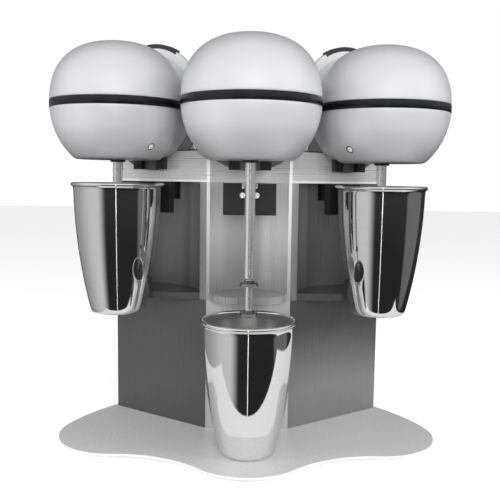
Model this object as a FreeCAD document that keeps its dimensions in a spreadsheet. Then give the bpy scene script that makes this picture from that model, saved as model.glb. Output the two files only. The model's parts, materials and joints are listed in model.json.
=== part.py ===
"""Triple-spindle milkshake mixer: three motor heads on one stainless column, three steel cups.

Frame: millimetres, +Z up, the user stands on the -Y side, origin on the floor at the middle of
the base.  Each station (front, left, right) is built about its own spindle axis: -y points at
the user of that station and +y points back along the head's neck to the column.
"""
import FreeCAD, Part
import os
import re
from math import cos, hypot, pi, sin, radians, sqrt

Vector = FreeCAD.Vector
Z_AXIS = Vector(0, 0, 1)
BACKWARDS = FreeCAD.Rotation(Vector(1, 0, 0), -90)      # turns a cylinder's +Z axis to +Y

doc = FreeCAD.newDocument("milkshake_mixer")

# ---------------------------------------------------------------- driving dimensions
SIZES = [
    ("front_y", -74.5, "front spindle axis, y"),
    ("side_x", 168.6, "side spindle axis, x"),
    ("side_y", -9.7, "side spindle axis, y"),
    ("side_turn", 34.0, "degrees that a side station is turned from the front"),
    ("foot_height", 8.0, "rubber foot, height"),
    ("foot_radius", 12.0, "rubber foot, radius"),
    ("plate_thick", 3.0, "base plate, thickness"),
    ("plate_top", 11.0, "base plate, top face above the floor"),
    ("lobe_radius", 77.5, "base plate, radius of each lobe"),
    ("valley_radius", 147.0, "base plate, radius of the hollow between two lobes"),
    ("plate_rear", 157.9, "base plate, y of its rear edge"),
    ("front_face", 79.3, "front spindle axis to the column's front face"),
    ("side_face", 75.0, "side spindle axis to the column's side face"),
    ("front_half", 55.9, "half width of the column's front face"),
    ("side_half", 79.25, "half width of the column's side face"),
    ("rear_half", 118.0, "half width of the column's rear face"),
    ("rear_y", 145.0, "y of the column's rear face"),
    ("sheet_thick", 1.5, "stainless sheet, thickness"),
    ("recess_deep", 38.0, "depth of the hollow in a column face"),
    ("post_flat", 4.5, "flat left beside a hollow, at a column corner"),
    ("ledge_z", 195.0, "top of the cup rest"),
    ("ledge_skirt", 9.0, "height of the cup rest's front skirt"),
    ("ledge_reach", 40.4, "spindle axis to the front edge of the cup rest"),
    ("collar_z", 341.0, "bottom of the collar band"),
    ("collar_top", 382.0, "top of the collar band"),
    ("gasket_thick", 1.5, "gasket between column and hub, thickness"),
    ("hub_top", 498.0, "top of the hub housing's body"),
    ("ball_radius", 83.0, "head, radius at the band"),
    ("head_top", 513.8, "head, top of the dome"),
    ("head_waist", 435.3, "head, middle of the band"),
    ("head_bottom", 368.1, "head, flat underside"),
    ("lower_arc", 90.0, "head, radius of the lower shell's curve"),
    ("dome_power", 2.45, "head, exponent of the dome's superellipse"),
    ("band_height", 10.0, "head, height of the black band"),
    ("band_proud", 0.4, "head, how far the band stands proud"),
    ("shell_wall", 3.0, "head, wall of the castings"),
    ("neck_radius", 70.0, "head, radius of the neck"),
    ("neck_z", 438.0, "head, height of the neck's axis"),
    ("neck_back", 65.0, "head, spindle axis to the back of the neck"),
    ("flange_radius", 82.0, "neck flange, radius"),
    ("flange_z", 438.0, "neck flange, height of its centre"),
    ("flange_thick", 6.0, "neck flange, thickness"),
    ("flange_width", 158.0, "neck flange, width across its trimmed sides"),
    ("flange_cap_out", 84.2, "black cap on top of a flange, outer radius"),
    ("flange_cap_in", 78.5, "black cap on top of a flange, inner radius"),
    ("flange_cap_turn", 31.0, "black cap on top of a flange, half its angle"),
    ("boss_radius", 78.0, "hub boss behind a flange, radius at the flange"),
    ("boss_end", 46.0, "hub boss, radius at its far end"),
    ("boss_deep", 96.0, "hub boss, length from the flange backwards"),
    ("spindle_radius", 6.25, "spindle, upper part"),
    ("tip_radius", 4.5, "spindle, lower part"),
    ("spindle_tip", 178.4, "spindle, lowest point"),
    ("upper_agitator_z", 221.0, "upper agitator, middle"),
    ("lower_agitator_z", 184.5, "lower agitator, middle"),
    ("agitator_radius", 11.9, "agitators, radius"),
    ("shaft_top", 470.0, "motor shaft, top"),
    ("cup_height", 165.9, "cup, height"),
    ("cup_rim", 58.8, "cup, outside radius of the rolled rim"),
    ("cup_base", 32.5, "cup, radius of the flat bottom"),
    ("cup_knee", 37.0, "cup, radius where the bottom corner meets the wall"),
    ("cup_knee_z", 10.0, "cup, height of that place"),
    ("cup_neck", 55.5, "cup, radius just below the rim"),
    ("cup_bulge", 3.9, "cup, how far the wall bows out between knee and neck"),
    ("cup_wall", 0.9, "cup, sheet thickness"),
    ("bead_radius", 2.4, "cup, radius of the rolled rim"),
    ("side_cup_z", 173.1, "bottom of a cup hung at a side station"),
    ("front_cup_back", 14.6, "front cup stands this far behind its spindle"),
    ("cup_plate_front", 60.6, "spindle axis to the face of the cup plate"),
    ("cup_plate_width", 68.0, "cup plate, width"),
    ("cup_plate_low", 299.5, "cup plate, bottom edge"),
    ("cup_plate_high", 340.4, "cup plate, top edge"),
    ("cup_plate_thick", 3.0, "cup plate, thickness"),
]
sheet = doc.addObject("Spreadsheet::Sheet", "Sizes")
for row, (alias, value, meaning) in enumerate(SIZES, start=1):
    sheet.set(f"A{row}", meaning)
    sheet.set(f"B{row}", str(value))
    sheet.setAlias(f"B{row}", alias)
doc.recompute()
ALIASES = {alias for alias, value, meaning in SIZES}


def size(alias):
    """The present value of a driving dimension."""
    return float(sheet.get(alias))


def linked(text):
    """An expression over bare dimension names, with each name pointed at the sheet."""
    return re.sub(r"[a-z][a-z_]*",
                  lambda m: f"Sizes.{m.group(0)}" if m.group(0) in ALIASES else m.group(0),
                  str(text))


# ---------------------------------------------------------------- stations and the node list
STATIONS = {
    "front": FreeCAD.Placement(Vector(0, size("front_y"), 0), FreeCAD.Rotation(Z_AXIS, 0)),
    "left": FreeCAD.Placement(Vector(-size("side_x"), size("side_y"), 0),
                              FreeCAD.Rotation(Z_AXIS, -size("side_turn"))),
    "right": FreeCAD.Placement(Vector(size("side_x"), size("side_y"), 0),
                               FreeCAD.Rotation(Z_AXIS, size("side_turn"))),
}
FACE = {"front": "front_face", "left": "side_face", "right": "side_face"}
HALF = {"front": "front_half", "left": "side_half", "right": "side_half"}
NODES = []


def node(thing, label, station=None):
    """Give a finished sub-part its label, its place and its file."""
    thing.Label = label
    if station:
        thing.Placement = STATIONS[station].multiply(thing.Placement)
    NODES.append(thing)
    return thing


# ---------------------------------------------------------------- small builders
def bind(thing, x=0, y=0, z=0, **sizes):
    for name, text in sizes.items():
        thing.setExpression(name, linked(text))
    for axis, text in (("x", x), ("y", y), ("z", z)):
        if text != 0:
            thing.setExpression(f"Placement.Base.{axis}", linked(text))
    return thing


def cylinder(radius, length, x=0, y=0, z=0, turned=None):
    thing = doc.addObject("Part::Cylinder", "cylinder")
    if turned:
        thing.Placement = FreeCAD.Placement(Vector(), turned)
    return bind(thing, x, y, z, Radius=radius, Height=length)


def cone(low_radius, high_radius, length, x=0, y=0, z=0):
    thing = doc.addObject("Part::Cone", "cone")
    return bind(thing, x, y, z, Radius1=low_radius, Radius2=high_radius, Height=length)


def torus(ring, tube, z=0):
    thing = doc.addObject("Part::Torus", "torus")
    return bind(thing, 0, 0, z, Radius1=ring, Radius2=tube)


def box(width, depth, height, x=0, y=0, z=0):
    """A box centred across x, from y backwards and from z up."""
    thing = doc.addObject("Part::Box", "box")
    return bind(thing, f"({x}) - ({width}) / 2", y, z, Length=width, Width=depth, Height=height)


def fuse(*things):
    joined = doc.addObject("Part::MultiFuse", "fuse")
    joined.Shapes = list(things)
    joined.Refine = True
    return joined


def cut(base, *tools):
    result = doc.addObject("Part::Cut", "cut")
    result.Base = base
    result.Tool = tools[0] if len(tools) == 1 else fuse(*tools)
    return result


def group(*things):
    """Several separate identical pieces that share one node."""
    together = doc.addObject("Part::Compound", "group")
    together.Links = list(things)
    return together


def at_stations(make):
    """One solid of the same kind at each station, as one group."""
    made = []
    for station, place in STATIONS.items():
        thing = make(station)
        thing.Placement = place.multiply(thing.Placement)
        made.append(thing)
    return group(*made)


def shaped(shape):
    """A piece with free-form faces, worked out from the sheet's sizes in this file."""
    thing = doc.addObject("Part::Feature", "shaped")
    thing.Shape = shape
    return thing


def ring(inner, outer, length, z=0):
    return cut(cylinder(outer, length, z=z), cylinder(inner, length, z=z))


# ---------------------------------------------------------------- plan outlines of the column
def in_plan(station, x, y):
    """A station's own point (x, y), in the part's frame, at floor height."""
    return STATIONS[station].multVec(Vector(x, y, 0))


def prism(outline, low, high):
    """Closed wire at z = 0, raised from low to high."""
    raised = outline.copy()
    raised.translate(Vector(0, 0, low))
    return Part.Face(raised).extrude(Vector(0, 0, high - low))


def column_outline():
    """Seven-sided plan: front face, two side faces, two rear flanks and the rear face."""
    front = size("front_half")
    right_near = in_plan("front", front, size("front_face"))
    right_far = in_plan("right", size("side_half"), size("side_face"))
    rear = Vector(size("rear_half"), size("rear_y"), 0)
    half = [right_near, right_far, rear]
    corners = half + [Vector(-p.x, p.y, 0) for p in reversed(half)]
    return Part.makePolygon(corners + [corners[0]])


def round_uprights(solid, radius, rear_only=False):
    """Round the vertical corners of a prism."""
    uprights = []
    for edge in solid.Edges:
        ends = [vertex.Point for vertex in edge.Vertexes]
        upright = len(ends) == 2 and hypot(ends[0].x - ends[1].x, ends[0].y - ends[1].y) < 0.01
        if upright and (not rear_only or ends[0].y > size("rear_y") - 60):
            uprights.append(edge)
    return solid.makeFillet(radius, uprights)


def hollow_radius(station):
    chord = size(HALF[station]) - size("post_flat")
    deep = size("recess_deep")
    return (chord * chord + deep * deep) / (2 * deep)


def hollow_centre(station):
    """Station y of the axis of the round hollow in that station's column face."""
    return size(FACE[station]) + size("recess_deep") - hollow_radius(station)


def hollow(station, low, high, grow=0):
    centre = in_plan(station, 0, hollow_centre(station))
    centre.z = low
    return Part.makeCylinder(hollow_radius(station) + grow, high - low, centre)


def offset_outline(distance):
    """The column's plan, moved outwards by a distance with its corners kept sharp."""
    return column_outline().makeOffset2D(distance, 2) if distance else column_outline()


def wrap(low, high, hollowed, proud=0.0, floor=False):
    """A folded sheet round the column, with a round hollow in each station face named."""
    thick = size("sheet_thick")
    outer = round_uprights(prism(offset_outline(proud), low, high), CORNER_ROUND)
    inset = offset_outline(proud - thick)
    bottom = low + thick if floor else low
    inner = round_uprights(prism(inset, bottom, high), CORNER_ROUND - thick)
    for station in hollowed:
        outer = outer.cut(hollow(station, low, high))
        inner = inner.cut(hollow(station, low, high, thick))
    return outer.cut(inner)


CORNER_ROUND = 4.0
column_z = size("plate_top")
ledge_z = size("ledge_z")
collar_z = size("collar_z")
thick = size("sheet_thick")

# ---------------------------------------------------------------- base
FOOT_PLACES = [(0, -122), (-200, -25), (200, -25), (-128, 120), (128, 120)]
FOOT_SCREW_RADIUS = 2.5
COLUMN_SCREW_PLACES = [(-150, 78), (150, 78), (-48, 22), (48, 22), (-100, 132), (100, 132)]


def base_outline():
    """Three round lobes, a hollow between neighbours, and a wide round back with a flat."""
    lobe = size("lobe_radius")
    front = Vector(0, size("front_y"), 0)
    side = Vector(size("side_x"), size("side_y"), 0)
    apart = side - front
    span = apart.Length
    along = apart / span
    outward = Vector(along.y, -along.x, 0)
    valley = size("valley_radius")
    rise = sqrt((lobe + valley) ** 2 - (span / 2) ** 2)
    valley_centre = front + along * (span / 2) + outward * rise
    on_front = front + (valley_centre - front) * (lobe / (lobe + valley))
    on_side = side + (valley_centre - side) * (lobe / (lobe + valley))
    valley_mid = valley_centre - outward * valley
    back_radius = span + lobe
    on_back = front + along * back_radius
    side_mid = side + Vector(lobe * cos(radians(-35)), lobe * sin(radians(-35)), 0)
    rear = size("plate_rear")
    flat_x = sqrt(back_radius ** 2 - (rear - front.y) ** 2)
    corner = Vector(flat_x, rear, 0)
    halfway = (on_back + corner) / 2 - front
    back_mid = front + halfway * (back_radius / halfway.Length)

    def mirrored(point):
        return Vector(-point.x, point.y, 0)

    edges = [Part.Arc(mirrored(on_front), front - Vector(0, lobe, 0), on_front)]
    for one, middle, other in ((on_front, valley_mid, on_side), (on_side, side_mid, on_back),
                               (on_back, back_mid, corner)):
        edges.append(Part.Arc(one, middle, other))
        edges.append(Part.Arc(mirrored(one), mirrored(middle), mirrored(other)))
    edges.append(Part.LineSegment(corner, mirrored(corner)))
    return Part.Wire(Part.__sortEdges__([edge.toShape() for edge in edges]))


def base_plate():
    top = size("plate_top")
    plate = prism(base_outline(), top - size("plate_thick"), top)
    for x, y in COLUMN_SCREW_PLACES:
        plate = plate.cut(Part.makeCylinder(FOOT_SCREW_RADIUS, 2 * top, Vector(x, y, 0)))
    return plate


node(shaped(base_plate()), "base_plate")
node(group(*[fuse(cone("foot_radius - 2", "foot_radius", "foot_height - 2", x=x, y=y),
                  cylinder("foot_radius", 2, x=x, y=y, z="foot_height - 2"))
             for x, y in FOOT_PLACES]), "rubber_feet")
node(group(*[fuse(cylinder(FOOT_SCREW_RADIUS, "plate_thick + 8", x=x, y=y,
                           z="plate_top - plate_thick"),
                  cylinder(4.5, 3, x=x, y=y, z="plate_top - plate_thick - 3"))
             for x, y in COLUMN_SCREW_PLACES]), "base_screws")

# ---------------------------------------------------------------- column
REAR_OPENING = (150, 230, 60)           # width, height and bottom of the service opening
GLAND_Z = 34.0
GLAND_RADIUS = 9.0


def lower_wrap():
    skirt = wrap(column_z, ledge_z - thick, [])
    width, height, low = REAR_OPENING
    window = Part.makeBox(width, 20, height, Vector(-width / 2, size("rear_y") - 10, low))
    gland = Part.makeCylinder(GLAND_RADIUS, 30, Vector(0, size("rear_y") - 15, GLAND_Z),
                              Vector(0, 1, 0))
    return skirt.cut(window).cut(gland)


def upper_wrap():
    faces = wrap(ledge_z - thick, collar_z, list(STATIONS))
    width, height, low = REAR_OPENING
    return faces.cut(Part.makeBox(width, 20, height, Vector(-width / 2, size("rear_y") - 10, low)))


def collar_band():
    band = wrap(collar_z, size("collar_top"), ["front"], proud=0.8, floor=True)
    return band.cut(Part.makeCylinder(30, 20, Vector(0, 92, collar_z - 5)))


def cup_rest(station):
    """Lens-shaped pan: its back fills the hollow, its front skirt cradles a hung cup."""
    face = size(FACE[station])
    chord = size(HALF[station]) - size("post_flat")
    proud = face - size("ledge_reach")
    front_radius = (chord * chord + proud * proud) / (2 * proud)
    front_centre = Vector(0, size("ledge_reach") + front_radius, 0)
    back_centre = Vector(0, hollow_centre(station), 0)
    clear = 0.05
    low = ledge_z - size("ledge_skirt")

    def disc(radius, centre, bottom, top):
        return Part.makeCylinder(radius, top - bottom, centre + Vector(0, 0, bottom))

    def half(y_low, y_high, bottom, top):
        return Part.makeBox(400, y_high - y_low, top - bottom, Vector(-200, y_low, bottom))

    top_low = ledge_z - thick
    back = disc(hollow_radius(station) - clear, back_centre, top_low, ledge_z)
    back = back.common(half(face, face + 100, top_low, ledge_z))
    front = disc(front_radius, front_centre, low, ledge_z)
    front = front.cut(disc(front_radius - thick, front_centre, low, top_low))
    front = front.common(half(-100, face - clear, low, ledge_z))
    bridge = Part.makeBox(2 * chord - 2, 2, thick, Vector(1 - chord, face - 1, top_low))
    return front.fuse([back, bridge]).removeSplitter()


node(shaped(lower_wrap()), "column_lower_wrap")
node(shaped(upper_wrap()), "column_upper_wrap")
node(shaped(collar_band()), "collar_band")
for station in STATIONS:
    node(shaped(cup_rest(station)), f"{station}_cup_rest", station)

# rear service cover with its louvres, screws and the cord gland
COVER_MARGIN = 12
LOUVRES = 7
LOUVRE_PITCH = 14
cover_low = REAR_OPENING[2] - COVER_MARGIN
cover_plate = box(REAR_OPENING[0] + 2 * COVER_MARGIN, "sheet_thick",
                  REAR_OPENING[1] + 2 * COVER_MARGIN, y="rear_y + 0.05", z=cover_low)
slots = [box(70, 10, 4, y="rear_y - 5", z=cover_low + 140 + LOUVRE_PITCH * step)
         for step in range(LOUVRES)]
node(cut(cover_plate, *slots), "rear_cover")
screw_x = REAR_OPENING[0] / 2 + COVER_MARGIN / 2
cover_screws = []
for x in (-screw_x, screw_x):
    for z in (cover_low + 6, cover_low + 127, cover_low + 248):
        cover_screws.append(cylinder(3.5, 2, x=x, y="rear_y + sheet_thick + 0.1", z=z,
                                     turned=BACKWARDS))
node(group(*cover_screws), "cover_screws")
gland_body = fuse(cylinder(GLAND_RADIUS, "sheet_thick + 12", y="rear_y - 10", z=GLAND_Z,
                           turned=BACKWARDS),
                  cylinder(GLAND_RADIUS + 2.5, 3, y="rear_y + 0.1", z=GLAND_Z,
                           turned=BACKWARDS))
node(cut(gland_body, cylinder(3.6, 40, y="rear_y - 15", z=GLAND_Z, turned=BACKWARDS)),
     "cord_gland")
terminal_steps = [box(7, 14, 5, x=step * 10, y=103, z="plate_top + 10") for step in (-2, -1, 0, 1, 2)]
node(fuse(box(60, 22, 10, y=99, z="plate_top"), *terminal_steps), "terminal_block")

# ---------------------------------------------------------------- hub on top of the column
GASKET_LOW = size("collar_top")
HUB_LOW = GASKET_LOW + size("gasket_thick")
HUB_WALL = 3.0
HUB_INSET = 2.0
HUB_CORNER = 16
HUB_EDGE = 14
HUB_OPENING = (150, 62, 405)            # width, height and bottom of the opening at the back


def hub_gasket():
    ring_out = round_uprights(prism(offset_outline(-1.0), GASKET_LOW, HUB_LOW),
                              CORNER_ROUND)
    ring_in = prism(offset_outline(-9.0), GASKET_LOW, HUB_LOW)
    return ring_out.cut(ring_in)


def hub_form(inset, top):
    """Body of the hub with one horizontal tapered boss per head."""
    body = round_uprights(prism(offset_outline(-HUB_INSET - inset), HUB_LOW, top),
                          HUB_CORNER - inset)
    rims = [edge for edge in body.Edges
            if all(abs(v.Point.z - top) < 0.01 for v in edge.Vertexes)]
    body = body.makeFillet(HUB_EDGE - inset, rims)
    for station, place in STATIONS.items():
        start = size("neck_back") + size("flange_thick")
        early = start - (1 if inset else 0)
        boss = Part.makeCone(size("boss_radius") - inset, size("boss_end") - inset,
                             size("boss_deep"), Vector(0, early, 0), Vector(0, 1, 0))
        boss.translate(Vector(0, 0, size("flange_z")))
        reach = size(FACE[station]) - 0.9 - inset if station == "front" else 0
        below = Part.makeBox(400, 200, HUB_LOW + inset, Vector(-200, reach, 0))
        boss = boss.cut(below)
        boss.Placement = place.multiply(boss.Placement)
        body = body.fuse(boss)
    return body


def hub_housing():
    top = size("hub_top")
    housing = hub_form(0, top).cut(hub_form(HUB_WALL, top - HUB_WALL))
    width, height, low = HUB_OPENING
    window = Part.makeBox(width, 30, height, Vector(-width / 2, size("rear_y") - 15, low))
    flange_back = size("neck_back") + size("flange_thick")
    for place in STATIONS.values():
        room = Part.makeCylinder(size("flange_radius") + 1, 100,
                                 Vector(0, flange_back - 100, size("flange_z")), Vector(0, 1, 0))
        room.Placement = place.multiply(room.Placement)
        housing = housing.cut(room)
    return housing.cut(window).removeSplitter()


node(shaped(hub_gasket()), "hub_gasket")
node(shaped(hub_housing()), "hub_housing")
hub_slots = [box(90, 10, 4, y="rear_y - 8", z=414 + 11 * step) for step in range(4)]
node(cut(box(HUB_OPENING[0] + 20, "sheet_thick", HUB_OPENING[1] + 16, y="rear_y - 2 + 0.05",
             z=HUB_OPENING[2] - 8), *hub_slots),
     "hub_rear_cover")


# ---------------------------------------------------------------- heads
def head_form(inset):
    """Outside of a head when inset is 0, or its cavity when inset is the wall."""
    waist = size("head_waist")
    radius = size("ball_radius") - inset
    rise = size("head_top") - waist - inset
    drop = waist - size("head_bottom") - inset
    arc = size("lower_arc") - inset
    arc_centre = radius - arc
    flat = arc_centre + sqrt(arc * arc - drop * drop)
    middle = radians(24)
    power = 2 / size("dome_power")
    steps = 10
    dome = [Vector(radius * cos(pi / 2 * step / steps) ** power, 0,
                   waist + rise * sin(pi / 2 * step / steps) ** power) for step in range(steps)]
    top = Vector(0, 0, waist + rise)
    spline = Part.BSplineCurve()
    spline.interpolate(dome + [top], InitialTangent=Vector(0, 0, 1), FinalTangent=Vector(-1, 0, 0))
    lower = Part.Arc(Vector(flat, 0, waist - drop),
                     Vector(arc_centre + arc * cos(middle), 0, waist - arc * sin(middle)),
                     Vector(radius, 0, waist))
    base = Vector(0, 0, waist - drop)
    edges = [Part.LineSegment(base, Vector(flat, 0, waist - drop)), lower, spline,
             Part.LineSegment(top, base)]
    profile = Part.Face(Part.Wire([edge.toShape() for edge in edges]))
    ball = profile.revolve(Vector(), Z_AXIS, 360)
    length = size("neck_back") + (1 if inset > 0 else 0)
    neck = Part.makeCylinder(size("neck_radius") - inset, length, Vector(0, 0, size("neck_z")),
                             Vector(0, 1, 0))
    ahead = Part.makeBox(400, 200 + length, 400, Vector(-200, -200, 300))
    return ball.fuse(neck).common(ahead)


def slab(low, high):
    return Part.makeBox(400, 400, high - low, Vector(-200, -200, low))


BAND_LOW = size("head_waist") - size("band_height") / 2
BAND_HIGH = size("head_waist") + size("band_height") / 2
SCREW_TURNS = (-9, -171)                # flank screws of the lower shell, degrees about the spindle
SCREW_Z = 383.0
SEAL_RADIUS = 9.5
NOTCH_X = 8                             # a side flange is cut away beyond this, below the hub
LUG_X = 20                              # flange lugs, sideways from the middle of the neck
LUG_SIZE = (14, 7, 20)

outside = head_form(0)
cavity = head_form(size("shell_wall"))
band_outside = head_form(-size("band_proud"))


def flank_place(turn, outwards):
    """A place on the lower shell, moved along its outward normal, +Z along that normal."""
    arc = size("lower_arc")
    centre = size("ball_radius") - arc
    down = (size("head_waist") - SCREW_Z) / arc
    flat = sqrt(1 - down * down)
    across = Vector(cos(radians(turn)), sin(radians(turn)), 0)
    normal = across * flat - Z_AXIS * down
    spot = across * (centre + arc * flat) + Vector(0, 0, SCREW_Z)
    return FreeCAD.Placement(spot + normal * outwards, FreeCAD.Rotation(Z_AXIS, normal))


def upper_shell():
    return outside.common(slab(BAND_HIGH, 600)).cut(cavity)


def head_band():
    return band_outside.common(slab(BAND_LOW, BAND_HIGH)).cut(cavity)


def lower_shell():
    shell = outside.common(slab(300, BAND_LOW)).cut(cavity)
    shell = shell.cut(Part.makeCylinder(SEAL_RADIUS + 0.05, 40, Vector(0, 0, 350)))
    for turn in SCREW_TURNS:
        pit = Part.makeCylinder(4.4, 4)
        pit.Placement = flank_place(turn, -1.4)
        shell = shell.cut(pit)
    return shell


def flank_screw(turn):
    screw = fuse(cylinder(3.9, 1.2), cut(cylinder(2.6, 1.6), box(6, 0.9, 3, y=-0.45, z=0.9)))
    screw.Placement = flank_place(turn, -1.35)
    return screw


def flange_cap():
    """Curved black cap let into the top of a flange's rim."""
    turn = size("flange_cap_turn")
    thick = size("flange_thick")
    cap = Part.makeCylinder(size("flange_cap_out"), thick, Vector(), Z_AXIS, 2 * turn)
    cap = cap.cut(Part.makeCylinder(size("flange_cap_in"), thick))
    cap.rotate(Vector(), Z_AXIS, 90 - turn)
    cap.rotate(Vector(), Vector(1, 0, 0), 90)
    cap.translate(Vector(0, size("neck_back") + thick, size("flange_z")))
    return cap


def neck_flange(station):
    """Ring behind a neck; the side ones are notched where the column's collar passes."""
    back, centre = size("neck_back"), Vector(0, 0, size("flange_z"))
    start = centre + Vector(0, back, 0)
    rearward = Vector(0, 1, 0)
    ring_form = Part.makeCylinder(size("flange_radius"), size("flange_thick"), start, rearward)
    half = size("flange_width") / 2
    ring_form = ring_form.common(Part.makeBox(2 * half, 60, 400, Vector(-half, back - 20, 300)))
    hole = Part.makeCylinder(size("neck_radius") - size("shell_wall") - 6, 40,
                             start - Vector(0, 10, 0), rearward)
    ring_form = ring_form.cut(hole).cut(flange_cap())
    if station != "front":
        inner = NOTCH_X if station == "left" else -NOTCH_X - 100
        ring_form = ring_form.cut(Part.makeBox(100, 40, HUB_LOW, Vector(inner, back - 10, 0)))
    return ring_form


def lug(x):
    """Black lug with a screw boss under the back of a neck, at one side."""
    low = size("flange_z") - size("flange_radius") + 1
    start = size("neck_back") - LUG_SIZE[1]
    width, deep, high = LUG_SIZE
    body = Part.makeBox(width, deep, high, Vector(x - width / 2, start, low)).cut(outside)
    boss = Part.makeCylinder(2.6, 1.2, Vector(x, start - 1.2, low + 5), Vector(0, 1, 0))
    return body.fuse(boss)


shells = (("head_cap", upper_shell()), ("head_band", head_band()), ("head_bowl", lower_shell()))
for station in STATIONS:
    for kind, shape in shells:
        node(shaped(shape.copy()), f"{station}_{kind}", station)
    node(shaped(neck_flange(station)), f"{station}_neck_flange", station)

head_screws = []
flange_lugs = []
flange_caps = []
for station, place in STATIONS.items():
    placed = [(flank_screw(turn), head_screws) for turn in SCREW_TURNS]
    placed += [(shaped(lug(x)), flange_lugs) for x in (-LUG_X, LUG_X)]
    placed += [(shaped(flange_cap()), flange_caps)]
    for thing, things in placed:
        thing.Placement = place.multiply(thing.Placement)
        things.append(thing)
node(group(*head_screws), "head_screws")
node(group(*flange_lugs), "flange_lugs")
node(group(*flange_caps), "flange_caps")

# ---------------------------------------------------------------- motors inside the heads
BOWL_FLOOR = "head_bottom + shell_wall"
LEG_TURN = 120
LEG_REACH = 44.0
STATOR_RADIUS = LEG_REACH - 4
BEARING_RADIUS = 13.0
UPPER_BEARING_Z = 453.0
BEARING_HEIGHT = 8.0

for station in STATIONS:
    windings = [ring(25, 36, 6, z=z) for z in (391, 447)]
    node(fuse(ring(21.5, STATOR_RADIUS, 50, z=397), *windings), f"{station}_motor_stator", station)
    legs = [cylinder(4, f"{UPPER_BEARING_Z + 4} - head_bottom - shell_wall",
                     x=LEG_REACH * cos(radians(LEG_TURN * step + 90)),
                     y=LEG_REACH * sin(radians(LEG_TURN * step + 90)), z=BOWL_FLOOR)
            for step in range(3)]
    spider = ring(BEARING_RADIUS, LEG_REACH + 6, 4, z=UPPER_BEARING_Z + 2)
    node(fuse(spider, *legs), f"{station}_motor_frame", station)

bearings = []
for station, place in STATIONS.items():
    for z in (BOWL_FLOOR, UPPER_BEARING_Z):
        bearing = ring("spindle_radius + 0.05", BEARING_RADIUS, BEARING_HEIGHT, z=z)
        bearing.Placement = place.multiply(bearing.Placement)
        bearings.append(bearing)
node(group(*bearings), "spindle_bearings")
node(at_stations(lambda station: ring("spindle_radius + 0.1", SEAL_RADIUS, 6,
                                      z="head_bottom - 3")), "spindle_seals")

# ---------------------------------------------------------------- spinning parts
def agitator(middle):
    """Disc with a short hub and a turned-down rim, pressed on the spindle."""
    bore = "tip_radius"
    rim = cut(cone("agitator_radius", "agitator_radius - 1.5", 3, z=f"{middle} - 3"),
              cylinder("agitator_radius - 3", 3, z=f"{middle} - 3"))
    disc = cylinder("agitator_radius - 1.5", 1.6, z=f"{middle}")
    collar = cylinder("tip_radius + 2.2", 7, z=f"{middle} - 3.5")
    return cut(fuse(rim, disc, collar), cylinder(bore, 20, z=f"{middle} - 10"))


for station in STATIONS:
    spindle = fuse(cylinder("tip_radius", "upper_agitator_z - spindle_tip + 2", z="spindle_tip"),
                   cone("tip_radius", "spindle_radius", 2, z="upper_agitator_z + 4"),
                   cylinder("tip_radius", 4, z="upper_agitator_z"),
                   cylinder("spindle_radius", "shaft_top - upper_agitator_z - 6",
                            z="upper_agitator_z + 6"))
    node(spindle, f"{station}_spindle", station)
    agitators = group(agitator("upper_agitator_z"), agitator("lower_agitator_z"))
    node(agitators, f"{station}_agitators", station)
    fan = ring("spindle_radius", 34, 3, z=383)
    core = ring("spindle_radius", 20, 50, z=397)
    commutator = ring("spindle_radius", 12, 64, z=385)
    node(fuse(fan, core, commutator), f"{station}_motor_rotor", station)


# ---------------------------------------------------------------- cups
def cup_shape():
    """Spun cup: flat bottom, tight corner, slightly bowed taper and a rolled rim."""
    height = size("cup_height")
    bead = size("bead_radius")
    wall = size("cup_wall")
    knee = Vector(size("cup_knee"), 0, size("cup_knee_z"))
    neck = Vector(size("cup_neck"), 0, height - 11)
    middle = (knee + neck) / 2 + Vector(size("cup_bulge"), 0, 0)
    lip_z = height - bead
    lip_x = size("cup_rim") - bead

    def side(inset):
        """Corner and wall, moved inwards by inset: their edges, first and last point."""
        inwards = Vector(-inset, 0, 0)
        start = Vector(size("cup_base") - inset, 0, inset)
        bow = Part.Arc(knee + inwards, middle + inwards, neck + inwards)
        corner = Part.Arc(start, Vector(size("cup_base") + 2.8 - inset, 0, 4 + inset / 2),
                          knee + inwards)
        top = Vector(lip_x + wall / 2 - inset, 0, lip_z)
        return [corner, bow, Part.LineSegment(neck + inwards, top)], start, top

    outer, out_start, out_top = side(0)
    inner, in_start, in_top = side(wall)
    floor_low = Vector(0, 0, 0)
    floor_high = Vector(0, 0, wall)
    closing = [Part.LineSegment(floor_low, out_start), Part.LineSegment(out_top, in_top),
               Part.LineSegment(in_start, floor_high), Part.LineSegment(floor_high, floor_low)]
    edges = [edge.toShape() for edge in outer + inner + closing]
    profile = Part.Face(Part.Wire(Part.__sortEdges__(edges)))
    body = profile.revolve(Vector(), Z_AXIS, 360)
    roll = Part.makeTorus(lip_x, bead, Vector(0, 0, lip_z))
    return body.fuse(roll).removeSplitter()


cup_form = cup_shape()
CUP_PLACES = {
    "front": Vector(0, size("front_cup_back"), size("plate_top") + 0.2),
    "left": Vector(0, 0, size("side_cup_z")),
    "right": Vector(0, 0, size("side_cup_z")),
}
for station, spot in CUP_PLACES.items():
    cup = shaped(cup_form.copy())
    cup.Placement = FreeCAD.Placement(spot, FreeCAD.Rotation())
    node(cup, f"{station}_cup", station)

# ---------------------------------------------------------------- cup plates and their switches
PLATE_SCREW_X = 9.0
PLATE_SCREW_Z = 325.0
PUSHER_Z = 311.0
BRACKET_Y = 72.0
TAB_WIDTH = 20.0
TAB_TIP = 49.4
TAB_Z = 339.2

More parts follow.
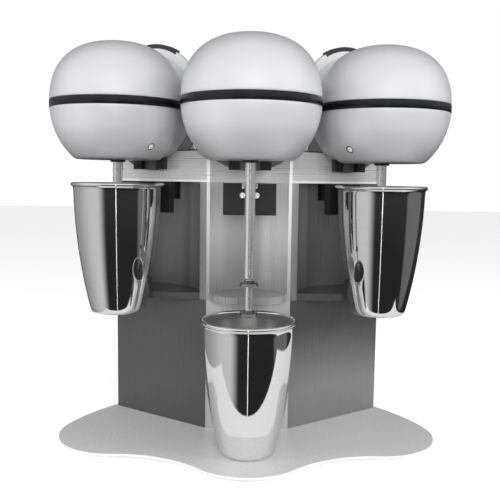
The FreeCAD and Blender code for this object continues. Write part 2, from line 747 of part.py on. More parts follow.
for station in STATIONS:
    back = "cup_plate_front + cup_plate_thick"
    plate_high = "cup_plate_high - cup_plate_low"
    blank = box("cup_plate_width", "cup_plate_thick", plate_high, y="cup_plate_front",
                z="cup_plate_low")
    wings = [box(2.5, 10, plate_high, x=f"{side} * (cup_plate_width / 2 - 1.25)",
                 y="cup_plate_front", z="cup_plate_low") for side in (-1, 1)]
    pusher = cylinder(2, 10, y=back, z=PUSHER_Z, turned=BACKWARDS)
    holes = [cylinder(2.05, 30, x=x, y="cup_plate_front - 10", z=PLATE_SCREW_Z, turned=BACKWARDS)
             for x in (-PLATE_SCREW_X, PLATE_SCREW_X)]
    notch = box(TAB_WIDTH + 2, 20, 10, y="cup_plate_front - 5", z=TAB_Z - 0.6)
    node(cut(fuse(blank, *wings, pusher), notch, *holes), f"{station}_cup_plate", station)


def tab_bracket(station):
    """Bracket on the hollow's back wall: rim tab in front, screw flange below."""
    wall_y = hollow_centre(station) + sqrt(hollow_radius(station) ** 2 - (TAB_WIDTH / 2) ** 2) - 0.1
    arm = box(TAB_WIDTH, wall_y - TAB_TIP, "sheet_thick", y=TAB_TIP, z=TAB_Z)
    lip = box(TAB_WIDTH, "sheet_thick", 7, y=TAB_TIP, z=TAB_Z - 5.5)
    root = box(TAB_WIDTH, "sheet_thick", 24, y=wall_y - 1.5, z=TAB_Z - 22.5)
    flange_low = 303
    flange = box(36, 2, TAB_Z + 1.5 - flange_low, y=BRACKET_Y, z=flange_low)
    holes = [cylinder(2, 10, x=x, y=BRACKET_Y - 4, z=PLATE_SCREW_Z, turned=BACKWARDS)
             for x in (-PLATE_SCREW_X, PLATE_SCREW_X)]
    pusher_hole = cylinder(3.5, 10, y=BRACKET_Y - 4, z=PUSHER_Z, turned=BACKWARDS)
    return cut(fuse(arm, lip, root, flange), pusher_hole, *holes)


def cup_switch(station):
    """Snap switch on the bracket; the plate's pusher runs into its well."""
    body = box(28, 12, 16, y=BRACKET_Y + 2, z=PUSHER_Z - 7)
    blades = [box(5, 8, 1, x=x, y=BRACKET_Y + 14, z=PUSHER_Z) for x in (-9, 0, 9)]
    return cut(fuse(body, *blades), cylinder(2.6, 6, y=BRACKET_Y + 2, z=PUSHER_Z,
                                             turned=BACKWARDS))


node(at_stations(tab_bracket), "rim_tabs")
node(at_stations(cup_switch), "cup_switches")
plate_screws = []
for station, place in STATIONS.items():
    for x in (-PLATE_SCREW_X, PLATE_SCREW_X):
        screw = fuse(cylinder(2, 15, x=x, y="cup_plate_front - 0.3", z=PLATE_SCREW_Z,
                              turned=BACKWARDS),
                     cylinder(3.6, 1.9, x=x, y="cup_plate_front - 2.2", z=PLATE_SCREW_Z,
                              turned=BACKWARDS))
        screw.Placement = place.multiply(screw.Placement)
        plate_screws.append(screw)
node(group(*plate_screws), "plate_screws")

# ---------------------------------------------------------------- check and write
doc.recompute()
for thing in doc.Objects:
    if "Invalid" in thing.State or "Error" in thing.State:
        raise RuntimeError(f"{thing.Name} ({thing.Label}) did not compute: {thing.State}")
for thing in NODES:
    if thing.Shape.isNull() or not thing.Shape.isValid() or not thing.Shape.Solids:
        raise RuntimeError(f"{thing.Label} has no valid solid")

os.makedirs("parts", exist_ok=True)
for thing in NODES:
    thing.Shape.exportStep(f"parts/{thing.Label}.step")
    extent = thing.Shape.BoundBox
    print(f"{thing.Label:24} solids {len(thing.Shape.Solids)}  volume {thing.Shape.Volume:10.0f}"
          f"  x {extent.XMin:7.1f} {extent.XMax:7.1f}  y {extent.YMin:7.1f} {extent.YMax:7.1f}"
          f"  z {extent.ZMin:6.1f} {extent.ZMax:6.1f}")
print(len(NODES), "nodes")
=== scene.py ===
"""Looks of a three-head milkshake mixer: spun heads, polished cups and finishes over the CAD."""
import json
import math

import bpy
from mathutils import Matrix, Vector


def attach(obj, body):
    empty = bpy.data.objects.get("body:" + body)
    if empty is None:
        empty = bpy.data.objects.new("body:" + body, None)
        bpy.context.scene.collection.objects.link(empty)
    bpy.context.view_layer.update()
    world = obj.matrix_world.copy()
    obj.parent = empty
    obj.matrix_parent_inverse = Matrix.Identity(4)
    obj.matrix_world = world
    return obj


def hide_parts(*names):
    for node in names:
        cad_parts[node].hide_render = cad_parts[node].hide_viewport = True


MM = 0.001
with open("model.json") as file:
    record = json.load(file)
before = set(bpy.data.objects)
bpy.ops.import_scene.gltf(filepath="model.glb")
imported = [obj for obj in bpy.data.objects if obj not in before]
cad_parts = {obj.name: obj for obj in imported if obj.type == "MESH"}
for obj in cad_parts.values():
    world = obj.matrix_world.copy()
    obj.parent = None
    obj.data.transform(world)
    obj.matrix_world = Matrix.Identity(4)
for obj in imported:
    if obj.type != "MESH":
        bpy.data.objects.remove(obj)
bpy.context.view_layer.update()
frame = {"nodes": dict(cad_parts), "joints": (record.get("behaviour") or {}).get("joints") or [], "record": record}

# Sizes in mm, heights from the floor: the same as the CAD's where both draw a thing.
WAIST = 435.3           # a head's widest line, in the middle of its band
BALL = 83.0             # a head's radius at the waist
TOP = 513.8
BOTTOM = 368.1
DOME_POWER = 2.45       # how full the cap is: 2 would be an ellipse
LOWER_ARC = 90.0        # radius of the bowl's side
BAND = 10.0
BAND_PROUD = 0.4        # the band stands out from the shells
NECK = 70.0
NECK_Z = 438.0
NECK_BACK = 65.0        # from the spindle's axis to the flange
NECK_OVERRUN = 3.0      # the neck runs on into the flange
NECK_BLEND = 9.0        # soft corner between ball and neck
BOTTOM_BLEND = 2.5
BACK_BLEND = 0.5
SHELL_TURN_IN = 3.0     # a shell's edge reaches inwards behind the band
SHELL_LIP = 0.7
BOWL_WALL = 2.4         # at the spindle's hole
SPINDLE_HOLE = 9.6
CUP_HEIGHT = 165.9
CUP_RIM = 58.8
CUP_WALL = 0.9
CUP_BEAD = 2.4
CUP_FOOT = 10.0         # the bowed wall starts here, above the bottom's corner
CUP_STEP = 4.0          # height between two rows of the wall
CUP_Z = {"front": 11.2, "left": 173.1, "right": 173.1}

HEAD_COLUMNS = 180
HEAD_ROWS = 52
CUP_COLUMNS = 180
CUP_WALL_ROWS = 37
SCREW_COLUMNS = 24
HEAD_FAR = 130.0        # mm, farther than any ray gets inside a head
HALVINGS = 26           # of that distance, to find where a ray leaves
FIRST_SLOPE = 0.0085    # radians from level, at a shell's lip
POLE_GAP = 0.004        # radians short of upright, where one face closes the cap


def stations():
    """Name -> matrix whose origin is on a spindle's axis at floor level and whose y is its neck."""
    found = {}
    axes = {joint["name"]: joint for joint in frame["joints"]}
    for side in ("front", "left", "right"):
        x, y, _ = axes[side + "_spindle_spin"]["pos_m"]
        back = Vector(axes[side + "_cup_plate_press"]["axis"]).normalized()
        across = back.cross(Vector((0, 0, 1)))
        turn = Matrix((across, back, Vector((0, 0, 1)))).transposed().to_4x4()
        found[side] = Matrix.Translation((x, y, 0)) @ turn
    return found


STATIONS = stations()


def mesh_object(name, points, faces, matrix):
    """A smooth mesh object from points in mm, with its vertices where the matrix puts them."""
    mesh = bpy.data.meshes.new(name)
    mesh.from_pydata([matrix @ (Vector(point) * MM) for point in points], [], faces)
    mesh.validate()
    mesh.shade_smooth()
    thing = bpy.data.objects.new(name, mesh)
    bpy.context.scene.collection.objects.link(thing)
    return thing


def turns(columns):
    """Angles of a full turn, one for each column."""
    return [2 * math.pi * column / columns for column in range(columns)]


def rows_to_faces(rows, columns):
    """Quads between closed rows of equal length."""
    faces = []
    for row in range(rows - 1):
        for column in range(columns):
            after = (column + 1) % columns
            faces.append((row * columns + column, row * columns + after,
                          (row + 1) * columns + after, (row + 1) * columns + column))
    return faces


def lathe(profile, columns):
    """Points and faces of a profile of (radius, height) turned about z."""
    points = [(radius * math.cos(angle), radius * math.sin(angle), height)
              for radius, height in profile for angle in turns(columns)]
    return points, rows_to_faces(len(profile), columns)


# Heads -----------------------------------------------------------------------------------

def blend_in(a, b, width):
    """Smooth union of two distances."""
    share = min(max(0.5 + 0.5 * (b - a) / width, 0), 1)
    return b * (1 - share) + a * share - width * share * (1 - share)


def blend_out(a, b, width):
    """Smooth intersection of two distances."""
    return -blend_in(-a, -b, width)


def head_distance(x, y, z):
    """Roughly the distance from a head's surface, in mm: a ball that runs back into a neck."""
    radius = math.hypot(x, y)
    rise = z - WAIST
    if rise > 0:
        gauge = (radius / BALL) ** DOME_POWER + (rise / (TOP - WAIST)) ** DOME_POWER
        ball = (gauge ** (1 / DOME_POWER) - 1) * BALL
    else:
        ball = math.hypot(radius + LOWER_ARC - BALL, rise) - LOWER_ARC
    neck = math.hypot(math.hypot(x, min(y, 0)), z - NECK_Z) - NECK
    form = blend_in(ball, neck, NECK_BLEND)
    form = blend_out(form, BOTTOM - z, BOTTOM_BLEND)
    return blend_out(form, y - NECK_BACK - NECK_OVERRUN, BACK_BLEND)


def head_reach(start, angle, slope):
    """How far a ray from (0, 0, start) gets before it leaves the head, and its direction."""
    across = math.cos(slope)
    step = (across * math.cos(angle), across * math.sin(angle), math.sin(slope))
    near, far = 0.0, HEAD_FAR
    for _ in range(HALVINGS):
        middle = (near + far) / 2
        inside = head_distance(step[0] * middle, step[1] * middle, start + step[2] * middle) < 0
        near, far = (middle, far) if inside else (near, middle)
    return near, step


def shell_rows(start, direction, last_slope):
    """Rows of a head shell: a rounded lip at height start, then on to the last slope."""
    rows = []
    angles = turns(HEAD_COLUMNS)
    edge = [head_reach(start, angle, 0)[0] for angle in angles]
    soft = SHELL_LIP * 0.3
    for inset, height in ((SHELL_TURN_IN, 0.0), (SHELL_LIP, 0.0), (soft, soft)):
        rows.append([((reach - inset) * math.cos(angle), (reach - inset) * math.sin(angle),
                      start + direction * height) for reach, angle in zip(edge, angles)])
    for row in range(HEAD_ROWS):
        share = row / (HEAD_ROWS - 1)
        slope = direction * (FIRST_SLOPE + (last_slope - FIRST_SLOPE) * share)
        ring = []
        for angle in angles:
            reach, step = head_reach(start, angle, slope)
            ring.append((step[0] * reach, step[1] * reach, start + step[2] * reach))
        rows.append(ring)
    return rows


def head_shell(upper):
    """Points and faces of the cap (upper) or the bowl of a head."""
    if upper:
        rows = shell_rows(WAIST + BAND / 2, 1, math.pi / 2 - POLE_GAP)
    else:
        start = WAIST - BAND / 2
        rows = shell_rows(start, -1, math.atan2(start - BOTTOM, SPINDLE_HOLE))
        rows.append([(x, y, z + BOWL_WALL) for x, y, z in rows[-1]])
    points = [point for row in rows for point in row]
    faces = rows_to_faces(len(rows), HEAD_COLUMNS)
    if upper:
        last = (len(rows) - 1) * HEAD_COLUMNS
        faces.append(tuple(range(last, last + HEAD_COLUMNS)))
        return points, faces
    return points, [face[::-1] for face in faces]


def head_band():
    """Points and faces of the black band between cap and bowl."""
    low, high = WAIST - BAND / 2, WAIST + BAND / 2
    gap, depth, bevel = 0.05, 2.6, 0.7
    corner, corner_in = 0.25, 0.2
    section = ((low + gap, -depth), (low + gap, BAND_PROUD - bevel),
               (low + corner, BAND_PROUD - corner_in), (low + bevel, BAND_PROUD),
               (low + BAND * 0.35, BAND_PROUD), (low + BAND * 0.65, BAND_PROUD),
               (high - bevel, BAND_PROUD), (high - corner, BAND_PROUD - corner_in),
               (high - gap, BAND_PROUD - bevel), (high - gap, -depth))
    points = []
    for height, proud in section:
        for angle in turns(HEAD_COLUMNS):
            reach = head_reach(height, angle, 0)[0] + proud
            points.append((reach * math.cos(angle), reach * math.sin(angle), height))
    return points, rows_to_faces(len(section), HEAD_COLUMNS)


HEAD_PARTS = (("head_cap", head_shell(True)), ("head_band", head_band()),
              ("head_bowl", head_shell(False)))
heads = {}
for side, place in STATIONS.items():
    for part, (points, faces) in HEAD_PARTS:
        thing = mesh_object(f"{side}_{part}_look", points, faces, place)
        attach(thing, "root")
        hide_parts(f"{side}_{part}")
        heads[side, part] = thing


def surface_normal(x, y, z, step=0.2):
    """Outward normal of the head form at a point."""
    here = head_distance(x, y, z)
    return Vector((head_distance(x + step, y, z) - here, head_distance(x, y + step, z) - here,
                   head_distance(x, y, z + step) - here)).normalized()


# Flank screws of the bowls: turns in degrees, then profiles as (radius, height) in mm.
SCREW_TURNS = (-9, -171)
SCREW_Z = 383.0
SCREW_HEAD = [(0.05, 0.75), (1.6, 0.72), (3.0, 0.5), (3.7, 0.1), (3.75, -0.6)]
SCREW_SEAT = [(3.6, -0.5), (3.9, 0.10), (4.4, 0.16), (4.9, 0.08), (5.1, -0.5)]
for side, place in STATIONS.items():
    for number, turn in enumerate(SCREW_TURNS, 1):
        angle = math.radians(turn)
        reach = head_reach(SCREW_Z, angle, 0)[0]
        spot = Vector((reach * math.cos(angle), reach * math.sin(angle), SCREW_Z))
        normal = surface_normal(*spot)
        stand = (place @ Matrix.Translation(spot * MM)
                 @ normal.to_track_quat("Z", "Y").to_matrix().to_4x4())
        for kind, profile in (("screw", SCREW_HEAD), ("seat", SCREW_SEAT)):
            points, faces = lathe(profile, SCREW_COLUMNS)
            thing = mesh_object(f"{side}_head_{kind}_{number}", points,
                                [face[::-1] for face in faces], stand)
            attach(thing, "root")
            if kind == "screw":
                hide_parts("head_screws")
            heads[side, f"{kind}_{number}"] = thing


# Cups ------------------------------------------------------------------------------------

def cup_radius(height):
    """Outside radius of the cup's bowed wall, from the corner above the bottom to the neck."""
    low, low_r, high, high_r, bow = CUP_FOOT, 37.0, CUP_HEIGHT - 11, 55.5, 3.9
    chord = math.hypot(high - low, high_r - low_r)
    bend = (chord ** 2 / 4 + bow ** 2) / (2 * bow)
    share = (height - low) / (high - low)
    along = (share - 0.5) * chord
    return low_r + (high_r - low_r) * share + math.sqrt(bend ** 2 - along ** 2) - (bend - bow)


def cup_profile():
    """Radius and height from the middle of the floor outside, over the rim, to inside it.

    The second result is the row of faces where the duller inside starts, on the rim's inner side.
    """
    wall = [CUP_FOOT + step * CUP_STEP for step in range(CUP_WALL_ROWS)]
    outside = [(0.6, 0.6), (12, 0.5), (24, 0.25), (29, 0.0), (31, 0.0), (32.4, 0.5),
               (33.6, 1.5), (34.6, 3.0), (35.5, 5.0), (36.3, 7.4)]
    outside += [(cup_radius(height), height) for height in wall]
    outside += [(55.72, 157.5), (56.0, 159.4)]
    bead_r, bead_z = CUP_RIM - CUP_BEAD, CUP_HEIGHT - CUP_BEAD
    roll = [(bead_r + CUP_BEAD * math.cos(math.radians(angle)),
             bead_z + CUP_BEAD * math.sin(math.radians(angle)))
            for angle in range(-80, 181, 20)]
    inside = [(54.6, 158.5), (54.5, 155.0)]
    inside += [(cup_radius(height) - CUP_WALL, height) for height in reversed(wall[:-1])]
    inside += [(35.2, 7.0), (34.0, 4.4), (32.6, 2.6), (30.6, 1.6), (27, 1.2), (12, 1.4),
               (0.6, 1.5)]
    return outside + roll + inside, len(outside) + len(roll) - 2


profile, cup_inside_row = cup_profile()
cups = {}
for side, place in STATIONS.items():
    points, faces = lathe(profile, CUP_COLUMNS)
    thing = mesh_object(side + "_cup_look", points, faces,
                        place @ Matrix.Translation((0, 0, CUP_Z[side] * MM)))
    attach(thing, side + "_cup_body")
    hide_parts(side + "_cup")
    cups[side] = thing


# Finishes --------------------------------------------------------------------------------

NOISE_SPAN = (0.3, 0.7)         # most of the noise lies between these values
BUMP_DEPTH = 0.0002
# Where painted light and shade change a finish's tone, in metres, as the limits of each change.
FRONT_END = 0.06                # y behind which nothing belongs to the front
CORNER_X = (0.0552, 0.0560)     # the folds at the sides of the column's front
REST_Z = (0.185, 0.187)         # the top of the cup rests
HOLLOW_SHADE_Z = (0.20, 0.33)
REAR_Y = (0.098, 0.100)


def grey(dark, light):
    """The two tones of a finish without colour."""
    return (dark,) * 3, (light,) * 3


def fade(tree, source, *values, smooth=False):
    """A change from one value to another between two limits: low, high, value at low, at high."""
    step = tree.nodes.new("ShaderNodeMapRange")
    if smooth:
        step.interpolation_type = "SMOOTHSTEP"
    for socket, value in zip(("From Min", "From Max", "To Min", "To Max"), values):
        step.inputs[socket].default_value = value
    tree.links.new(source, step.inputs["Value"])
    return step.outputs["Result"]


def reckon(tree, operation, *terms):
    """The result of one sum on sockets or plain numbers."""
    node = tree.nodes.new("ShaderNodeMath")
    node.operation = operation
    for socket, term in zip(node.inputs, terms):
        if isinstance(term, (int, float)):
            socket.default_value = term
        else:
            tree.links.new(term, socket)
    return node.outputs["Value"]


def first(tree, kind):
    """A tree's first node of a kind."""
    return next(node for node in tree.nodes if node.type == kind)


def finish(name, tones, metallic=0.0, rough=(0.4, 0.45), grain=(80, 80, 80), bump=0.0,
           bevel=0.0, detail=4.0, **sockets):
    """A procedural finish: two tones and a range of roughness over one stretched noise."""
    material = bpy.data.materials.new(name)
    material.use_nodes = True
    tree = material.node_tree
    nodes, links = tree.nodes, tree.links
    shader = nodes["Principled BSDF"]
    shader.inputs["Metallic"].default_value = metallic
    for socket, value in sockets.items():
        shader.inputs[socket.replace("_", " ")].default_value = value
    where = nodes.new("ShaderNodeTexCoord")
    stretch = nodes.new("ShaderNodeMapping")
    stretch.inputs["Scale"].default_value = grain
    links.new(where.outputs["Object"], stretch.inputs["Vector"])
    noise = nodes.new("ShaderNodeTexNoise")
    noise.inputs["Scale"].default_value = 1
    noise.inputs["Detail"].default_value = detail
    links.new(stretch.outputs["Vector"], noise.inputs["Vector"])
    mix = nodes.new("ShaderNodeMix")
    mix.data_type = "RGBA"
    mix.inputs["A"].default_value = (*tones[0], 1)
    mix.inputs["B"].default_value = (*tones[1], 1)
    links.new(noise.outputs["Fac"], mix.inputs["Factor"])
    links.new(mix.outputs["Result"], shader.inputs["Base Color"])
    links.new(fade(tree, noise.outputs["Fac"], *NOISE_SPAN, *rough), shader.inputs["Roughness"])
    normal = None
    if bevel:
        edge = nodes.new("ShaderNodeBevel")
        edge.samples = 4
        edge.inputs["Radius"].default_value = bevel * MM
        normal = edge.outputs["Normal"]
    if bump:
        relief = nodes.new("ShaderNodeBump")
        relief.inputs["Strength"].default_value = bump
        relief.inputs["Distance"].default_value = BUMP_DEPTH
        links.new(noise.outputs["Fac"], relief.inputs["Height"])
        if normal:
            links.new(normal, relief.inputs["Normal"])
        normal = relief.outputs["Normal"]
    if normal:
        links.new(normal, shader.inputs["Normal"])
    return material


def paint_shade_level(tree, level):
    """Scale the base colour of a finish by a level of painted light and shade: 1 leaves it as it is, 0 is black.
    """
    base = tree.nodes["Principled BSDF"].inputs["Base Color"]
    scale = tree.nodes.new("ShaderNodeVectorMath")
    scale.operation = "SCALE"
    tree.links.new(base.links[0].from_socket, scale.inputs["Vector"])
    tree.links.new(level, scale.inputs["Scale"])
    tree.links.new(scale.outputs["Vector"], base)


def places(tree):
    """Sockets of a finish's coordinates: X outwards from the front's middle, across, Y and Z.

    Behind the front hollow X is far off the middle, so that painted light and shade for the front stays there.
    """
    split = tree.nodes.new("ShaderNodeSeparateXYZ")
    tree.links.new(first(tree, "TEX_COORD").outputs["Object"], split.inputs["Vector"])
    across, y, z = (split.outputs[axis] for axis in "XYZ")
    behind = reckon(tree, "GREATER_THAN", y, FRONT_END)
    off_middle = reckon(tree, "ADD", reckon(tree, "ABSOLUTE", across), behind)
    return {"X": off_middle, "across": across, "Y": y, "Z": z}


def paint_light_and_shade(material, *changes):
    """Paint light and shade into a finish: its tone changes from place to place.

    Each change is an axis, where it starts and ends, and the tone at either end.  The brightest
    change wins.
    """
    tree = material.node_tree
    sources = places(tree)
    level = None
    for axis, *values in changes:
        tone = fade(tree, sources[axis], *values)
        level = reckon(tree, "MAXIMUM", level, tone) if level else tone
    paint_shade_level(tree, level)
    return material


def column_steel(name):
    """Fine brushed sheet with light and shade painted into its tone: bright on the front face between the corners,
    painted shade in the front hollow, painted duller on the flanks beside it.
    """
    material = finish(name, grey(0.94, 1.0), 0.5, (0.27, 0.33), grain=(900, 900, 12),
                      bump=0.006, bevel=1.0, detail=2.0)
    tree = material.node_tree
    sources = places(tree)

    def ease(axis, *values):
        return fade(tree, sources[axis], *values)

    def times(a, b):
        return reckon(tree, "MULTIPLY", a, b)

    def plus(a, b):
        return reckon(tree, "ADD", a, b)

    # Light and shade painted into the sheet's tone: painted shade deepest low in the front hollow, on its left and
    # in its middle; the lower front at half tone; the flanks painted dark, darker outwards; at least 0.3 behind.
    front = ease("X", *CORNER_X, 1, 0)
    above_rests = ease("Z", *REST_Z, 0, 1)
    lower_front = times(ease("Z", *REST_Z, 0.5, 0), front)
    shade = times(ease("Z", *HOLLOW_SHADE_Z, 0.45, 1.0),
                  times(ease("across", -0.03, 0.03, 0.82, 1.0),
                        ease("X", 0.012, 0.05, 0.68, 1.0)))
    upper_front = times(times(shade, above_rests), front)
    upper_flank = times(times(ease("X", 0.06, 0.10, 0.34, 0.16),
                              ease("Z", *HOLLOW_SHADE_Z, 0.7, 1.1)), above_rests)
    # Painted light low on the flanks, towards the right.
    painted_low_light = times(ease("Z", 0.06, 0.15, 0.12, 0), ease("across", 0, 0.06, 0, 1))
    lower_flank = plus(ease("Z", *REST_Z, 0.09, 0), painted_low_light)
    beside = reckon(tree, "SUBTRACT", 1, front)
    flank = times(plus(upper_flank, lower_flank), beside)
    flank = reckon(tree, "MAXIMUM", flank, ease("Y", *REAR_Y, 0, 0.3))
    paint_shade_level(tree, plus(plus(lower_front, upper_front), flank))
    return material


def hammered(name):
    """Pale hammered enamel: shallow dimples a few millimetres across."""
    material = finish(name, ((0.58, 0.58, 0.59), (0.74, 0.74, 0.75)), 0.25, (0.3, 0.42),
                      grain=(420, 420, 420), bevel=1.2)
    tree = material.node_tree
    nodes, links = tree.nodes, tree.links
    cells = nodes.new("ShaderNodeTexVoronoi")
    cells.feature = "SMOOTH_F1"
    cells.inputs["Scale"].default_value = 330
    cells.inputs["Smoothness"].default_value = 0.5
    links.new(first(tree, "TEX_COORD").outputs["Object"], cells.inputs["Vector"])
    relief = nodes.new("ShaderNodeBump")
    relief.inputs["Strength"].default_value = 0.55
    relief.inputs["Distance"].default_value = 0.0006
    links.new(cells.outputs["Distance"], relief.inputs["Height"])
    links.new(first(tree, "BEVEL").outputs["Normal"], relief.inputs["Normal"])
    links.new(relief.outputs["Normal"], nodes["Principled BSDF"].inputs["Normal"])
    return material


ENAMEL_TONES = ((0.52, 0.53, 0.55), (0.58, 0.59, 0.61))
FINISHES = {
    "base_enamel": hammered("base enamel"),
    "foot_rubber": finish("foot rubber", grey(0.02, 0.04), rough=(0.6, 0.8)),
    "column_steel": column_steel("column steel"),
    # Painted light and shade: the collar keeps its full tone on the column's front and below 0.3435 m, and is
    # painted darker, 0.66, on the sides above 0.345 m.
    "collar_steel": paint_light_and_shade(finish("collar steel", ((0.95, 0.95, 0.96), (0.98, 0.98, 0.99)), 0.4,
                                  (0.27, 0.29), grain=(8, 8, 1200), bevel=0.8, detail=2.0),
                           ("X", *CORNER_X, 1, 0.66), ("Z", 0.3435, 0.3450, 1, 0.6)),
    # Painted shade: the heads' enamel is darkened to 0.58 below 0.372 m, on the lower bowls.
    "head_enamel": paint_light_and_shade(finish("head enamel", ((0.52, 0.53, 0.55), (0.56, 0.57, 0.59)), 0.45,
                                 (0.38, 0.44), grain=(900, 900, 900), bump=0.05,
                                 Coat_Weight=0.25, Coat_Roughness=0.2),
                          ("Z", 0.372, 0.408, 0.58, 1)),
    "band_black": finish("band black", ((0.004, 0.004, 0.005), (0.008, 0.008, 0.009)),
                         rough=(0.12, 0.2), Specular_IOR_Level=0.3),
    # Painted shade: the flanges darken to 0.22 towards their bottom, below 0.46 m.
    "flange_enamel": paint_light_and_shade(finish("flange enamel", ENAMEL_TONES, 0.2, (0.36, 0.44),
                                   grain=(700, 700, 700), bump=0.05, bevel=1.0),
                            ("Z", 0.40, 0.46, 0.22, 1)),
    "gasket_black": finish("gasket black", grey(0.012, 0.02), rough=(0.5, 0.7)),
    "lug_black": finish("lug black", grey(0.012, 0.022), rough=(0.4, 0.55), bevel=0.6),
    "plate_black": finish("plate black", ((0.008, 0.008, 0.009), (0.016, 0.016, 0.017)),
                          rough=(0.3, 0.42), grain=(500, 500, 500), bump=0.1, bevel=0.8),
    "cup_steel": finish("cup steel", ((0.80, 0.80, 0.79), (0.86, 0.86, 0.85)), 1.0,
                        (0.035, 0.075), grain=(30, 30, 700), bump=0.02),
    "spindle_steel": finish("spindle steel", ((0.76, 0.76, 0.75), (0.86, 0.86, 0.85)), 0.88,
                            (0.14, 0.22), grain=(40, 40, 900), bump=0.04, bevel=0.4),
    # Painted shade: the rim tabs away from the column's front are darkened to 0.1.
    "tab_steel": paint_light_and_shade(finish("tab steel", ((0.66, 0.66, 0.65), (0.78, 0.78, 0.77)), 1.0,
                               (0.2, 0.3), grain=(60, 60, 600), bevel=0.4),
                        ("X", 0.05, 0.06, 1, 0.1)),
    "screw_steel": finish("screw steel", ((0.72, 0.72, 0.71), (0.85, 0.85, 0.84)), 0.55,
                          (0.2, 0.32), grain=(300, 300, 300), bevel=0.3),
    "motor_iron": finish("motor iron", ((0.16, 0.15, 0.15), (0.26, 0.25, 0.24)), 0.8,
                         (0.4, 0.55)),
    "frame_alloy": finish("frame alloy", ((0.45, 0.45, 0.46), (0.56, 0.56, 0.57)), 0.9,
                          (0.35, 0.5), bevel=0.6),
    "bearing_steel": finish("bearing steel", grey(0.6, 0.72), 1.0, (0.15, 0.25)),
    "seal_rubber": finish("seal rubber", grey(0.015, 0.03), rough=(0.5, 0.65)),
    "switch_plastic": finish("switch plastic", grey(0.02, 0.035), rough=(0.35, 0.5)),
    "terminal_plastic": finish("terminal plastic", ((0.6, 0.58, 0.52), (0.7, 0.68, 0.62)),
                               rough=(0.4, 0.55)),
}
# Painted shade: the agitators' steel is made dark for the shade inside the cups.
AGITATOR_PAINTED_SHADE = finish("agitator steel in painted shade", ((0.16, 0.16, 0.16), (0.26, 0.26, 0.25)), 1.0,
                         (0.12, 0.2), grain=(60, 60, 600), bevel=0.4)
# Painted shade: a nearly black copy of the column's steel for the side cup rests.
SIDE_REST_PAINTED_SHADE = finish("side rest steel in painted shade", grey(0.07, 0.09), 0.5, (0.3, 0.4),
                          grain=(15, 700, 700), bevel=0.6)
CUP_INSIDE = finish("cup steel inside", ((0.80, 0.80, 0.79), (0.90, 0.90, 0.89)), 0.95,
                    (0.10, 0.16), grain=(30, 30, 700), bump=0.02)
HUB_FINISH = finish("hub enamel", ENAMEL_TONES, 0.2, (0.36, 0.44), grain=(700, 700, 700),
                    bump=0.05, bevel=1.2)

# Nodes whose finish is not their slot's, the side rests and agitators among them in painted shade, and what the
# parts made here wear.
SPECIAL = {"hub_housing": HUB_FINISH, "hub_rear_cover": HUB_FINISH,
           "left_cup_rest": SIDE_REST_PAINTED_SHADE, "right_cup_rest": SIDE_REST_PAINTED_SHADE}
SPECIAL.update({f"{side}_agitators": AGITATOR_PAINTED_SHADE for side in STATIONS})
HEAD_LOOKS = {"head_band": "band_black", "screw_1": "screw_steel", "screw_2": "screw_steel",
              "seat_1": "lug_black", "seat_2": "lug_black"}


def put_on(thing, material):
    """Give a mesh one material."""
    thing.data.materials.clear()
    thing.data.materials.append(material)


slots = {part["node"]: part["material_slot"] for part in frame["record"]["subparts"]}
for name, thing in frame["nodes"].items():
    put_on(thing, SPECIAL.get(name) or FINISHES[slots[name]])
for (_, part), thing in heads.items():
    put_on(thing, FINISHES[HEAD_LOOKS.get(part, "head_enamel")])
for thing in cups.values():
    put_on(thing, FINISHES["cup_steel"])
    thing.data.materials.append(CUP_INSIDE)
    for face in thing.data.polygons:
        face.material_index = 1 if face.index >= cup_inside_row * CUP_COLUMNS else 0


# Studio: sizes and places in metres, lamps in watts ---------------------------------------

def aimed(place, target, axis):
    """Matrix of a thing at a place whose axis points to a target."""
    way = Vector(target) - Vector(place)
    return Matrix.Translation(place) @ way.to_track_quat(axis, "Y").to_matrix().to_4x4()


def card(name, width, height, place, facing, colour, strength):
    """A flat glowing card that faces a point."""
    mesh = bpy.data.meshes.new(name)
    x, y = width / 2, height / 2
    mesh.from_pydata([(-x, -y, 0), (x, -y, 0), (x, y, 0), (-x, y, 0)], [], [(0, 1, 2, 3)])
    thing = bpy.data.objects.new(name, mesh)
    bpy.context.scene.collection.objects.link(thing)
    thing.matrix_world = aimed(place, facing, "Z")
    material = bpy.data.materials.new(name)
    material.use_nodes = True
    shader = material.node_tree.nodes["Principled BSDF"]
    shader.inputs["Base Color"].default_value = (*colour, 1)
    shader.inputs["Roughness"].default_value = 0.9
    shader.inputs["Emission Color"].default_value = (*colour, 1)
    shader.inputs["Emission Strength"].default_value = strength
    mesh.materials.append(material)
    return thing


def lamp(name, size, place, facing, power):
    """A rectangular area light that faces a point and shows in no reflection."""
    data = bpy.data.lights.new(name, "AREA")
    data.shape = "RECTANGLE"
    data.size, data.size_y = size
    data.energy = power
    thing = bpy.data.objects.new(name, data)
    thing.visible_glossy = False
    bpy.context.scene.collection.objects.link(thing)
    thing.matrix_world = aimed(place, facing, "-Z")


MIDDLE = (0, 0, 0.3)
floor = card("floor", 14, 14, (0, 0, -0.0005), (0, 0, 1), (0.92, 0.92, 0.92), 0.34)
floor.visible_glossy = False
table = card("table", 0.86, 0.69, (0.07, 0.13, -0.0002), (0.07, 0.13, 1), (0.45, 0.45, 0.45),
             0.72)
strip = card("strip light", 0.024, 3.2, (-0.01, -1.9, -0.1), (-0.01, 0, -0.1), (1, 1, 1), 3.0)
for mirrored in (table, strip):
    mirrored.visible_diffuse = mirrored.visible_camera = mirrored.visible_shadow = False
lamp("front", (1.4, 0.9), (0.1, -1.9, 0.8), MIDDLE, 30)
lamp("left", (0.5, 1.2), (-1.7, -0.8, 1.0), MIDDLE, 10)
lamp("right", (0.5, 1.2), (1.7, -0.8, 1.0), MIDDLE, 14)


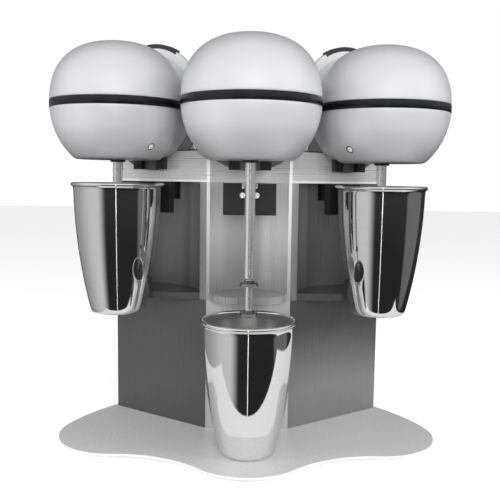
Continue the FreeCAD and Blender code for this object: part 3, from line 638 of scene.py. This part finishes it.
def studio_world():
    """White to the camera; in reflections a bright tent above the horizon and dark below it."""
    world = bpy.data.worlds.new("studio")
    world.use_nodes = True
    tree = world.node_tree
    nodes, links = tree.nodes, tree.links
    where = nodes.new("ShaderNodeTexCoord")
    split = nodes.new("ShaderNodeSeparateXYZ")
    links.new(where.outputs["Generated"], split.inputs["Vector"])

    def span(axis, *values):
        """A soft step of one component of the direction."""
        return fade(tree, split.outputs[axis], *values, smooth=True)

    left = reckon(tree, "MULTIPLY", span("X", -0.72, -0.36, 1.0, 0.0),
                  span("Y", -0.6, 0.8, 0.58, 0.26))
    sides = reckon(tree, "ADD", left, span("X", 0.86, 0.91, 0.0, 0.12))
    below = reckon(tree, "ADD", sides, span("Z", -0.4, 0.0, 0.02, 0.035))
    height = reckon(tree, "MULTIPLY", span("Z", -0.04, 0.16, 0.0, 0.95),
                    span("Z", 0.3, 0.9, 1.0, 0.8))
    tent = reckon(tree, "MULTIPLY", height, span("Y", -0.1, 0.7, 1.0, 0.2))
    room = nodes.new("ShaderNodeBackground")
    links.new(reckon(tree, "MAXIMUM", tent, below), room.inputs["Color"])
    plain = nodes["Background"]
    plain.inputs["Color"].default_value = (1, 1, 1, 1)
    seen = nodes.new("ShaderNodeLightPath")
    choose = nodes.new("ShaderNodeMixShader")
    links.new(seen.outputs["Is Camera Ray"], choose.inputs["Fac"])
    links.new(room.outputs["Background"], choose.inputs[1])
    links.new(plain.outputs["Background"], choose.inputs[2])
    links.new(choose.outputs["Shader"], nodes["World Output"].inputs["Surface"])
    bpy.context.scene.world = world


studio_world()
bpy.context.scene.view_settings.view_transform = "Standard"


# Camera ----------------------------------------------------------------------------------

CAMERA_SPOT = (-0.0090, -0.9036, 0.34735)
CAMERA_HEADING = (0.01169, 0.99993, 0)
CAMERA_PITCH = 5.93
CAMERA_ROLL = 0.79


def camera():
    """Eye-level camera about 0.9 m in front, a few degrees down, with a hint of roll."""
    pitch, roll = math.radians(CAMERA_PITCH), math.radians(CAMERA_ROLL)
    heading = Vector(CAMERA_HEADING)
    forward = heading * math.cos(pitch) - Vector((0, 0, math.sin(pitch)))
    level = heading.cross(Vector((0, 0, 1)))
    upright = level.cross(forward)
    right = level * math.cos(roll) + upright * math.sin(roll)
    up = upright * math.cos(roll) - level * math.sin(roll)
    data = bpy.data.cameras.new("camera")
    data.lens = 50
    data.sensor_width = 36
    thing = bpy.data.objects.new("camera", data)
    bpy.context.scene.collection.objects.link(thing)
    turn = Matrix((right, up, -forward)).transposed().to_4x4()
    thing.matrix_world = Matrix.Translation(CAMERA_SPOT) @ turn
    bpy.context.scene.camera = thing


camera()
